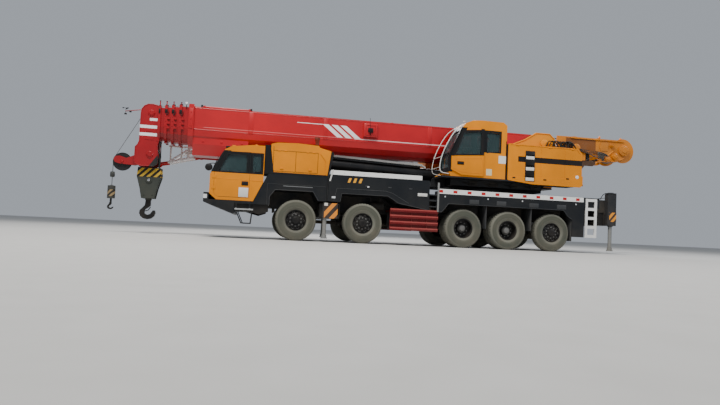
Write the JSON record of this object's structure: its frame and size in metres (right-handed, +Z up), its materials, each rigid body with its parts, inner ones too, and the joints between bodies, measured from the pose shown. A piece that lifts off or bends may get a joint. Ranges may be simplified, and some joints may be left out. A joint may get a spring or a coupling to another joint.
{
  "type": "mobile crane",
  "caption": "Truck-mounted mobile crane in travel order: five-axle carrier with outriggers, slewing upper works, telescopic boom with hook blocks and a stowed jib.",
  "frame": {"origin": "ground level under the middle of the overall length and width, in travel order", "axes": "+X forward (driving direction), +Y to the driver's side (left), +Z up"},
  "size_m": [17.2, 3, 4],
  "materials": {
    "body_dark": "satin",
    "body_yellow": "gloss",
    "boom_red": "gloss",
    "frame_dark": "satin",
    "guard_red": "satin",
    "axle_iron": "rough",
    "tyre": "matte",
    "rim_dark": "satin",
    "jack_grey": "satin",
    "glass": "gloss",
    "interior": "matte",
    "rod_chrome": "polished",
    "hook_dark": "satin",
    "jib_red": "satin"
  },
  "bodies": {
    "carrier": {"chassis_frame": "frame_dark", "driveline": "axle_iron", "bodywork": "body_dark", "carrier_cab": "body_yellow", "cab_interior": "interior", "cab_glass": "glass", "engine_cover": "body_yellow", "steps_and_guards": "guard_red"},
    "cab_door": {"cab_door": "body_yellow"},
    "wheel_1_left": {"tyre_1_left": "tyre", "rim_1_left": "rim_dark"},
    "knuckle_1_left": {"knuckle_1_left": "axle_iron"},
    "wheel_1_right": {"tyre_1_right": "tyre", "rim_1_right": "rim_dark"},
    "knuckle_1_right": {"knuckle_1_right": "axle_iron"},
    "wheel_2_left": {"tyre_2_left": "tyre", "rim_2_left": "rim_dark"},
    "knuckle_2_left": {"knuckle_2_left": "axle_iron"},
    "wheel_2_right": {"tyre_2_right": "tyre", "rim_2_right": "rim_dark"},
    "knuckle_2_right": {"knuckle_2_right": "axle_iron"},
    "wheel_3_left": {"tyre_3_left": "tyre", "rim_3_left": "rim_dark"},
    "wheel_3_right": {"tyre_3_right": "tyre", "rim_3_right": "rim_dark"},
    "wheel_4_left": {"tyre_4_left": "tyre", "rim_4_left": "rim_dark"},
    "wheel_4_right": {"tyre_4_right": "tyre", "rim_4_right": "rim_dark"},
    "wheel_5_left": {"tyre_5_left": "tyre", "rim_5_left": "rim_dark"},
    "knuckle_5_left": {"knuckle_5_left": "axle_iron"},
    "wheel_5_right": {"tyre_5_right": "tyre", "rim_5_right": "rim_dark"},
    "knuckle_5_right": {"knuckle_5_right": "axle_iron"},
    "beam_front_left": {"beam_front_left": "frame_dark"},
    "jack_front_left": {"jack_front_left": "jack_grey"},
    "beam_front_right": {"beam_front_right": "frame_dark"},
    "jack_front_right": {"jack_front_right": "jack_grey"},
    "beam_rear_left": {"beam_rear_left": "frame_dark"},
    "jack_rear_left": {"jack_rear_left": "jack_grey"},
    "beam_rear_right": {"beam_rear_right": "frame_dark"},
    "jack_rear_right": {"jack_rear_right": "jack_grey"},
    "superstructure": {"turntable": "frame_dark", "operator_cab": "body_yellow", "operator_glass": "glass", "operator_seat": "interior", "machinery_hood": "body_yellow", "winch_frame": "body_yellow"},
    "operator_door": {"operator_door": "body_yellow"},
    "boom": {"boom_base": "boom_red", "stowed_jib": "jib_red"},
    "boom_section_1": {"boom_section_1": "boom_red"},
    "boom_section_2": {"boom_section_2": "boom_red"},
    "boom_section_3": {"boom_section_3": "boom_red"},
    "boom_head": {"boom_head": "boom_red"},
    "luff_barrel": {"luff_barrel": "body_dark"},
    "luff_rod": {"luff_rod": "rod_chrome"},
    "main_hook": {"main_hook": "hook_dark"},
    "small_hook": {"small_hook": "hook_dark"}
  },
  "joints": [
    {"name": "cab_door_hinge", "type": "hinge", "parent": "carrier", "child": "cab_door", "pos_m": [5.48, 1.49515, 1.5], "axis": [0, 0, -1], "range_deg": [0, 65]},
    {"name": "steer_1_left", "type": "hinge", "parent": "carrier", "child": "knuckle_1_left", "pos_m": [3.06, 1.08, 0.6], "axis": [0, 0, 1], "range_deg": [-30, 30]},
    {"name": "spin_1_left", "type": "hinge", "parent": "knuckle_1_left", "child": "wheel_1_left", "pos_m": [3.06, 1.2925, 0.6], "axis": [0, 1, 0], "continuous": true},
    {"name": "steer_1_right", "type": "hinge", "parent": "carrier", "child": "knuckle_1_right", "pos_m": [3.06, -1.08, 0.6], "axis": [0, 0, 1], "range_deg": [-30, 30]},
    {"name": "spin_1_right", "type": "hinge", "parent": "knuckle_1_right", "child": "wheel_1_right", "pos_m": [3.06, -1.2925, 0.6], "axis": [0, 1, 0], "continuous": true},
    {"name": "steer_2_left", "type": "hinge", "parent": "carrier", "child": "knuckle_2_left", "pos_m": [1.07, 1.08, 0.6], "axis": [0, 0, 1], "range_deg": [-21.5, 21.5]},
    {"name": "spin_2_left", "type": "hinge", "parent": "knuckle_2_left", "child": "wheel_2_left", "pos_m": [1.07, 1.2925, 0.6], "axis": [0, 1, 0], "continuous": true},
    {"name": "steer_2_right", "type": "hinge", "parent": "carrier", "child": "knuckle_2_right", "pos_m": [1.07, -1.08, 0.6], "axis": [0, 0, 1], "range_deg": [-21.5, 21.5]},
    {"name": "spin_2_right", "type": "hinge", "parent": "knuckle_2_right", "child": "wheel_2_right", "pos_m": [1.07, -1.2925, 0.6], "axis": [0, 1, 0], "continuous": true},
    {"name": "spin_3_left", "type": "hinge", "parent": "carrier", "child": "wheel_3_left", "pos_m": [-2.1, 1.2925, 0.6], "axis": [0, 1, 0], "continuous": true},
    {"name": "spin_3_right", "type": "hinge", "parent": "carrier", "child": "wheel_3_right", "pos_m": [-2.1, -1.2925, 0.6], "axis": [0, 1, 0], "continuous": true},
    {"name": "spin_4_left", "type": "hinge", "parent": "carrier", "child": "wheel_4_left", "pos_m": [-3.575, 1.2925, 0.6], "axis": [0, 1, 0], "continuous": true},
    {"name": "spin_4_right", "type": "hinge", "parent": "carrier", "child": "wheel_4_right", "pos_m": [-3.575, -1.2925, 0.6], "axis": [0, 1, 0], "continuous": true},
    {"name": "steer_5_left", "type": "hinge", "parent": "carrier", "child": "knuckle_5_left", "pos_m": [-5.065, 1.08, 0.6], "axis": [0, 0, 1], "range_deg": [-12.5, 12.5]},
    {"name": "spin_5_left", "type": "hinge", "parent": "knuckle_5_left", "child": "wheel_5_left", "pos_m": [-5.065, 1.2925, 0.6], "axis": [0, 1, 0], "continuous": true},
    {"name": "steer_5_right", "type": "hinge", "parent": "carrier", "child": "knuckle_5_right", "pos_m": [-5.065, -1.08, 0.6], "axis": [0, 0, 1], "range_deg": [-12.5, 12.5]},
    {"name": "spin_5_right", "type": "hinge", "parent": "knuckle_5_right", "child": "wheel_5_right", "pos_m": [-5.065, -1.2925, 0.6], "axis": [0, 1, 0], "continuous": true},
    {"name": "beam_front_left_slide", "type": "slide", "parent": "carrier", "child": "beam_front_left", "axis": [0, 1, 0], "range_m": [0, 2.1]},
    {"name": "jack_front_left_slide", "type": "slide", "parent": "beam_front_left", "child": "jack_front_left", "axis": [0, 0, -1], "range_m": [0, 0.4]},
    {"name": "beam_front_right_slide", "type": "slide", "parent": "carrier", "child": "beam_front_right", "axis": [0, -1, 0], "range_m": [0, 2.1]},
    {"name": "jack_front_right_slide", "type": "slide", "parent": "beam_front_right", "child": "jack_front_right", "axis": [0, 0, -1], "range_m": [0, 0.4]},
    {"name": "beam_rear_left_slide", "type": "slide", "parent": "carrier", "child": "beam_rear_left", "axis": [0, 1, 0], "range_m": [0, 2.1]},
    {"name": "jack_rear_left_slide", "type": "slide", "parent": "beam_rear_left", "child": "jack_rear_left", "axis": [0, 0, -1], "range_m": [0, 0.4]},
    {"name": "beam_rear_right_slide", "type": "slide", "parent": "carrier", "child": "beam_rear_right", "axis": [0, -1, 0], "range_m": [0, 2.1]},
    {"name": "jack_rear_right_slide", "type": "slide", "parent": "beam_rear_right", "child": "jack_rear_right", "axis": [0, 0, -1], "range_m": [0, 0.4]},
    {"name": "slew", "type": "hinge", "parent": "carrier", "child": "superstructure", "pos_m": [-3.1, 0, 1.85], "axis": [0, 0, 1], "continuous": true},
    {"name": "operator_door_slide", "type": "slide", "parent": "superstructure", "child": "operator_door", "axis": [-1, 0, 0], "range_m": [0, 0.65]},
    {"name": "boom_luff", "type": "hinge", "parent": "superstructure", "child": "boom", "pos_m": [-5.2, 0, 3.6], "axis": [0, -1, 0], "range_deg": [0, 78]},
    {"name": "telescope_1", "type": "slide", "parent": "boom", "child": "boom_section_1", "axis": [1, 0, 0], "range_m": [0, 8.5]},
    {"name": "telescope_2", "type": "slide", "parent": "boom_section_1", "child": "boom_section_2", "axis": [1, 0, 0], "range_m": [0, 8.5]},
    {"name": "telescope_3", "type": "slide", "parent": "boom_section_2", "child": "boom_section_3", "axis": [1, 0, 0], "range_m": [0, 8.5]},
    {"name": "telescope_4", "type": "slide", "parent": "boom_section_3", "child": "boom_head", "axis": [1, 0, 0], "range_m": [0, 8.5]},
    {"name": "luff_barrel_pivot", "type": "hinge", "parent": "superstructure", "child": "luff_barrel", "pos_m": [-2.3, 0, 2.3], "axis": [0, -1, 0], "range_deg": [0, 88.99]},
    {"name": "luff_rod_slide", "type": "slide", "parent": "luff_barrel", "child": "luff_rod", "axis": [0.9993, 0, 0.037], "range_m": [0, 3.797]},
    {"name": "main_hook_swing", "type": "hinge", "parent": "boom_head", "child": "main_hook", "pos_m": [7.42, 0, 2.35], "axis": [0, -1, 0], "range_deg": [-78, 6]},
    {"name": "small_hook_swing", "type": "hinge", "parent": "boom_head", "child": "small_hook", "pos_m": [8.23, 0, 2.12], "axis": [0, -1, 0], "range_deg": [-78, 6]}
  ],
  "couplings": [
    {"joint": "steer_1_right", "follows": "steer_1_left", "ratio": 1},
    {"joint": "steer_2_left", "follows": "steer_1_left", "ratio": 0.7},
    {"joint": "steer_2_right", "follows": "steer_1_left", "ratio": 0.7},
    {"joint": "steer_5_left", "follows": "steer_1_left", "ratio": -0.4},
    {"joint": "steer_5_right", "follows": "steer_1_left", "ratio": -0.4},
    {"joint": "telescope_2", "follows": "telescope_1", "ratio": 1},
    {"joint": "telescope_3", "follows": "telescope_1", "ratio": 1},
    {"joint": "telescope_4", "follows": "telescope_1", "ratio": 1},
    {"joint": "luff_barrel_pivot", "follows": "boom_luff", "ratio": 1.1345},
    {"joint": "luff_rod_slide", "follows": "boom_luff", "m_per_rad": 2.7816},
    {"joint": "small_hook_swing", "follows": "main_hook_swing", "ratio": 1}
  ]
}
